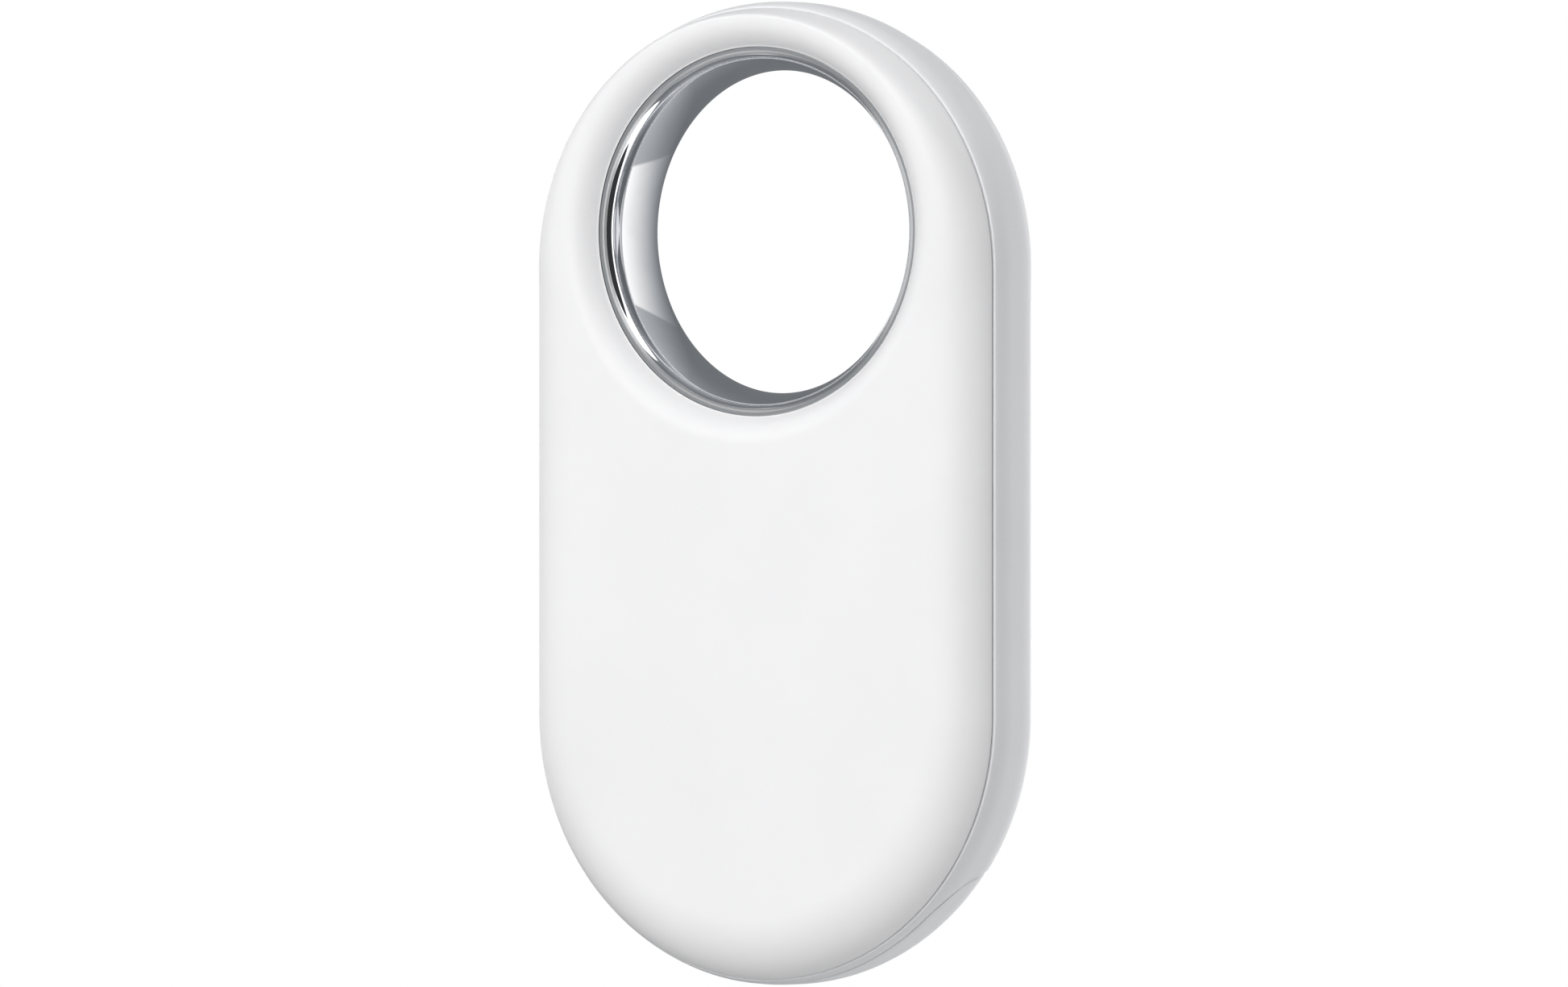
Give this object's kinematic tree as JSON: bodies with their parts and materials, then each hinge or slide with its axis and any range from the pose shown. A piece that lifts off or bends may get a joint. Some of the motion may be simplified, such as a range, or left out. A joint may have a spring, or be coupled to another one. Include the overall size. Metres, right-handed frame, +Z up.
{
  "type": "bluetooth tracker tag",
  "caption": "Flat stadium-shaped tracker tag with a large metal-lined key ring hole, two moulded covers, a pin-release coin cell tray at its bottom end and a button behind its face.",
  "frame": {"origin": "centre of the key ring hole, halfway through the tag's thickness", "axes": "+Z up along the tag as it hangs, +X across it, front face towards -Y"},
  "size_m": [0.0288, 0.008, 0.0524],
  "materials": {
    "cover_front": "satin moulded white",
    "cover_rear": "satin moulded white, very slightly cooler",
    "gasket": "matt adhesive foam",
    "bezel": "satin with a bright chamfer",
    "liner": "polished",
    "frame_plastic": "matt moulded",
    "circuit_board": "solder mask",
    "nickel_sheet": "satin sheet",
    "chip_plastic": "matt moulded",
    "spring_steel": "satin",
    "pad_plastic": "matt moulded",
    "copper_flex": "satin copper",
    "ferrite": "matt sheet",
    "contact_gold": "gold flash",
    "piezo_brass": "satin",
    "piezo_white": "fired ceramic",
    "tray_plastic": "satin moulded white",
    "seal_rubber": "matt moulded",
    "cell_steel": "bright drawn steel",
    "grommet_plastic": "matt moulded"
  },
  "bodies": {
    "housing": {"front_cover": "cover_front", "rear_cover": "cover_rear", "adhesive_gasket": "gasket", "front_bezel": "bezel", "rear_bezel": "bezel", "ring_liner": "liner", "inner_frame": "frame_plastic", "main_board": "circuit_board", "shield_can": "nickel_sheet", "radio_chip": "chip_plastic", "uwb_chip": "chip_plastic", "crystal": "nickel_sheet", "chip_parts": "chip_plastic", "tact_switch": "chip_plastic", "switch_dome": "spring_steel", "nfc_coil": "copper_flex", "ferrite_sheet": "ferrite", "uwb_antenna": "copper_flex", "ble_antenna": "copper_flex", "negative_contact": "contact_gold", "positive_contact": "contact_gold", "piezo_plate": "piezo_brass", "piezo_ceramic": "piezo_white", "lever_pivot": "spring_steel", "detent_spring": "spring_steel"},
    "tray": {"battery_tray": "tray_plastic", "tray_seal": "seal_rubber", "cell_can": "cell_steel", "cell_cap": "cell_steel", "cell_grommet": "grommet_plastic"},
    "button": {"button_pad": "pad_plastic"},
    "ejector_rod": {"eject_rod": "spring_steel"},
    "ejector_lever": {"eject_lever": "spring_steel"}
  },
  "joints": [
    {"name": "tray_slide", "type": "slide", "parent": "housing", "child": "tray", "axis": [0, 0, -1], "range_m": [0, 0.0265], "deforming": ["detent_spring"]},
    {"name": "button_press", "type": "slide", "parent": "housing", "child": "button", "axis": [0, 1, 0], "range_m": [0, 0.0002], "stiffness_N_per_m": 8000, "deforming": ["switch_dome"]},
    {"name": "rod_slide", "type": "slide", "parent": "housing", "child": "ejector_rod", "axis": [0, 0, 1], "range_m": [0, 0.0011]},
    {"name": "lever_turn", "type": "hinge", "parent": "housing", "child": "ejector_lever", "pos_m": [-0.0083, 0.001, -0.0146], "axis": [0, 1, 0], "range_deg": [0, 28.2]}
  ],
  "couplings": [
    {"joint": "rod_slide", "follows": "tray_slide", "ratio": 0.0415},
    {"joint": "lever_turn", "follows": "tray_slide", "rad_per_m": 18.5}
  ]
}
